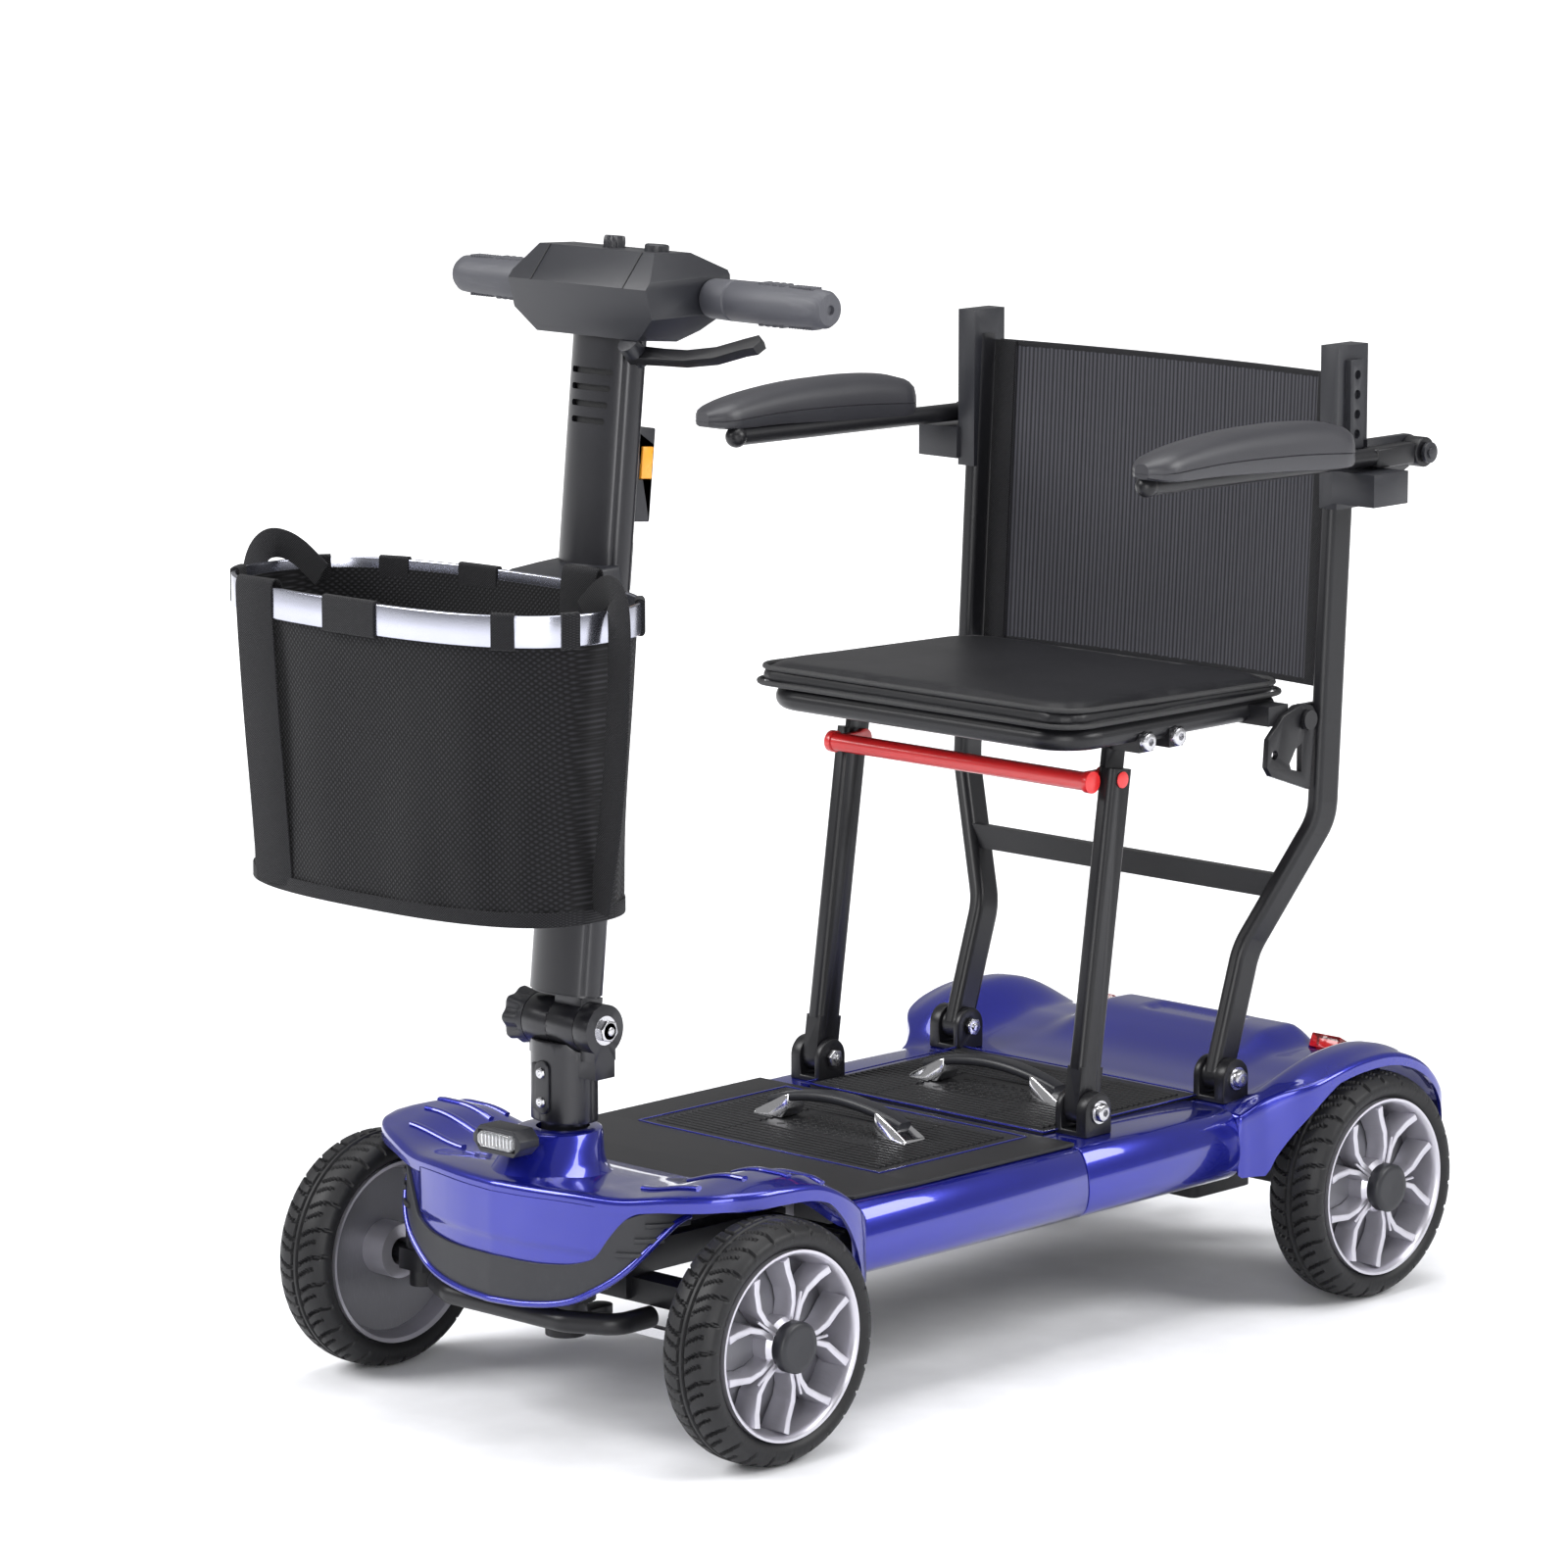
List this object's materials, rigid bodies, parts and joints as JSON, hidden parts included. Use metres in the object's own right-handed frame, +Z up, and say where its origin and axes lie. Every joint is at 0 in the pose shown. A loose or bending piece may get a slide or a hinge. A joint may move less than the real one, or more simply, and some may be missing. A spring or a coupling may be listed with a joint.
{
  "type": "folding four-wheel mobility scooter",
  "caption": "Folding mobility scooter with tilting tiller, handlebar head, front basket, ribbed footboard over batteries, folding seat and mesh back with flip-up armrests.",
  "frame": {"origin": "on the floor under the middle of the scooter's box", "axes": "+Z up, the front faces -Y, +X is the rider's left"},
  "size_m": [0.551, 1.141, 0.9604],
  "materials": {
    "body_gloss_blue": "deep metallic blue gloss lacquer",
    "frame_black": "black powder coat",
    "panel_charcoal": "moulded charcoal plastic",
    "mat_black": "ribbed black footboard plastic",
    "console_black": "black semi-gloss moulded plastic",
    "tube_black": "black satin lacquered tube",
    "rim_silver": "silver painted cast alloy",
    "tyre_rubber": "treaded black rubber",
    "grip_rubber": "ribbed grey rubber",
    "chrome_trim": "bright chrome",
    "bolt_steel": "bright zinc-plated steel",
    "cast_dark": "dark painted casting",
    "release_red": "red powder coat",
    "seat_leatherette": "black leatherette with piping",
    "sling_mesh": "black ribbed mesh fabric",
    "basket_mesh": "black open mesh fabric",
    "basket_alloy": "flat bright aluminium strip",
    "arm_pad": "moulded black foam pad",
    "lens_clear": "clear ribbed lens",
    "lens_red": "red lens",
    "amber_plastic": "amber plastic",
    "battery_case": "black battery case"
  },
  "bodies": {
    "chassis": {"main_frame": "frame_black", "front_cover": "body_gloss_blue", "bumper_panel": "panel_charcoal", "bumper_bar": "frame_black", "deck_shell": "body_gloss_blue", "rear_body": "body_gloss_blue", "footboard": "mat_black", "front_battery_lid": "mat_black", "rear_battery_lid": "mat_black", "lid_handles": "console_black", "handle_feet": "chrome_trim", "battery_packs": "battery_case", "controller_box": "rim_silver", "headlight_housing": "chrome_trim", "headlight_lens": "lens_clear", "tail_lights": "lens_red", "seat_brackets": "frame_black", "pivot_bolts": "bolt_steel", "transaxle": "cast_dark", "antitip_bracket": "frame_black"},
    "column": {"column_stub": "tube_black", "steering_arm": "frame_black"},
    "tiller": {"tiller_hinge": "tube_black", "tiller_tube": "tube_black", "head_housing": "console_black", "handlebar": "tube_black", "grips": "grip_rubber", "tiller_block": "console_black", "basket_bracket": "console_black", "basket_rim": "basket_alloy", "basket_bag": "basket_mesh"},
    "hinge_knob": {"hinge_knob": "console_black"},
    "brake_lever": {"brake_lever": "frame_black"},
    "speed_dial": {"speed_dial": "console_black"},
    "horn_button": {"horn_button": "console_black"},
    "amber_button": {"amber_button": "amber_plastic"},
    "knuckle_left": {"knuckle_left": "frame_black"},
    "knuckle_right": {"knuckle_right": "frame_black"},
    "tie_rod": {"tie_rod": "bolt_steel"},
    "wheel_front_left": {"tyre_front_left": "tyre_rubber", "rim_front_left": "rim_silver"},
    "wheel_front_right": {"tyre_front_right": "tyre_rubber", "rim_front_right": "rim_silver"},
    "wheel_rear_left": {"tyre_rear_left": "tyre_rubber", "rim_rear_left": "rim_silver"},
    "wheel_rear_right": {"tyre_rear_right": "tyre_rubber", "rim_rear_right": "rim_silver"},
    "antitip_wheel_left": {"antitip_wheel_left": "tyre_rubber"},
    "antitip_wheel_right": {"antitip_wheel_right": "tyre_rubber"},
    "seat_legs": {"front_legs": "frame_black"},
    "release_bar": {"release_bar": "release_red"},
    "seat": {"seat_frame": "frame_black", "seat_cushion": "seat_leatherette", "hook_plates": "frame_black", "seat_bolts": "bolt_steel"},
    "backrest": {"back_frame": "frame_black", "backrest_sling": "sling_mesh", "post_fittings": "console_black"},
    "armrest_left": {"armrest_left": "arm_pad"},
    "armrest_right": {"armrest_right": "arm_pad"}
  },
  "joints": [
    {"name": "steering", "type": "hinge", "parent": "chassis", "child": "column", "pos_m": [0, -0.3305, 0.2], "axis": [0, 0, 1], "range_deg": [-20, 20]},
    {"name": "tiller_tilt", "type": "hinge", "parent": "column", "child": "tiller", "pos_m": [0, -0.3305, 0.326], "axis": [-1, 0, 0], "range_deg": [-8, 44]},
    {"name": "hinge_knob_turn", "type": "hinge", "parent": "column", "child": "hinge_knob", "pos_m": [-0.04, -0.3305, 0.326], "axis": [1, 0, 0], "continuous": true},
    {"name": "brake_squeeze", "type": "hinge", "parent": "tiller", "child": "brake_lever", "pos_m": [0.046, -0.2885, 0.868], "axis": [0, -0.7071, 0.7071], "range_deg": [0, 10], "stiffness_Nm_per_rad": 1.2, "springref_deg": -11.46},
    {"name": "speed_dial_turn", "type": "hinge", "parent": "tiller", "child": "speed_dial", "pos_m": [-0.004, -0.26484, 0.95257], "axis": [0, 0.1011, 0.9949], "range_deg": [0, 270]},
    {"name": "horn_press", "type": "slide", "parent": "tiller", "child": "horn_button", "axis": [0, -0.1011, -0.9949], "range_m": [0, 0.002], "stiffness_N_per_m": 300, "springref_m": -0.002},
    {"name": "amber_press", "type": "slide", "parent": "tiller", "child": "amber_button", "axis": [-1, 0, 0], "range_m": [0, 0.002], "stiffness_N_per_m": 300, "springref_m": -0.002},
    {"name": "kingpin_left", "type": "hinge", "parent": "chassis", "child": "knuckle_left", "pos_m": [0.175, -0.3255, 0.12], "axis": [0, 0, 1], "range_deg": [-21, 21]},
    {"name": "kingpin_right", "type": "hinge", "parent": "chassis", "child": "knuckle_right", "pos_m": [-0.175, -0.3255, 0.12], "axis": [0, 0, 1], "range_deg": [-21, 21]},
    {"name": "tie_rod_pivot", "type": "hinge", "parent": "knuckle_left", "child": "tie_rod", "pos_m": [0.175, -0.2855, 0.07], "axis": [0, 0, 1], "range_deg": [-21, 21]},
    {"name": "wheel_front_left_spin", "type": "hinge", "parent": "knuckle_left", "child": "wheel_front_left", "pos_m": [0.224, -0.3255, 0.1], "axis": [1, 0, 0], "continuous": true},
    {"name": "wheel_front_right_spin", "type": "hinge", "parent": "knuckle_right", "child": "wheel_front_right", "pos_m": [-0.224, -0.3255, 0.1], "axis": [1, 0, 0], "continuous": true},
    {"name": "wheel_rear_left_spin", "type": "hinge", "parent": "chassis", "child": "wheel_rear_left", "pos_m": [0.224, 0.4205, 0.1], "axis": [1, 0, 0], "continuous": true},
    {"name": "wheel_rear_right_spin", "type": "hinge", "parent": "chassis", "child": "wheel_rear_right", "pos_m": [-0.224, 0.4205, 0.1], "axis": [1, 0, 0], "continuous": true},
    {"name": "antitip_spin_left", "type": "hinge", "parent": "chassis", "child": "antitip_wheel_left", "pos_m": [0.088, 0.5445, 0.06], "axis": [1, 0, 0], "continuous": true},
    {"name": "antitip_spin_right", "type": "hinge", "parent": "chassis", "child": "antitip_wheel_right", "pos_m": [-0.088, 0.5445, 0.06], "axis": [1, 0, 0], "continuous": true},
    {"name": "seat_fold", "type": "hinge", "parent": "chassis", "child": "seat_legs", "pos_m": [0, 0.1322, 0.202], "axis": [1, 0, 0], "range_deg": [0, 92]},
    {"name": "seat_pivot", "type": "hinge", "parent": "seat_legs", "child": "seat", "pos_m": [0, 0.17727, 0.51477], "axis": [1, 0, 0], "range_deg": [-92, 0]},
    {"name": "backrest_fold", "type": "hinge", "parent": "chassis", "child": "backrest", "pos_m": [0, 0.3125, 0.202], "axis": [1, 0, 0], "range_deg": [0, 92]},
    {"name": "release_lift", "type": "hinge", "parent": "seat_legs", "child": "release_bar", "pos_m": [0, 0.17228, 0.48013], "axis": [-1, 0, 0], "range_deg": [0, 18], "stiffness_Nm_per_rad": 1.2, "springref_deg": -20.05},
    {"name": "armrest_left_flip", "type": "hinge", "parent": "backrest", "child": "armrest_left", "pos_m": [0.235, 0.4695, 0.738], "axis": [-1, 0, 0], "range_deg": [0, 270.01]},
    {"name": "armrest_right_flip", "type": "hinge", "parent": "backrest", "child": "armrest_right", "pos_m": [-0.235, 0.4695, 0.738], "axis": [-1, 0, 0], "range_deg": [0, 270.01]}
  ],
  "couplings": [
    {"joint": "kingpin_left", "follows": "steering", "ratio": 1},
    {"joint": "kingpin_right", "follows": "steering", "ratio": 1},
    {"joint": "tie_rod_pivot", "follows": "steering", "ratio": -1},
    {"joint": "seat_pivot", "follows": "seat_fold", "ratio": -1},
    {"joint": "backrest_fold", "follows": "seat_fold", "ratio": 1},
    {"joint": "armrest_left_flip", "follows": "seat_fold", "ratio": 2.9348},
    {"joint": "armrest_right_flip", "follows": "seat_fold", "ratio": 2.9348}
  ]
}
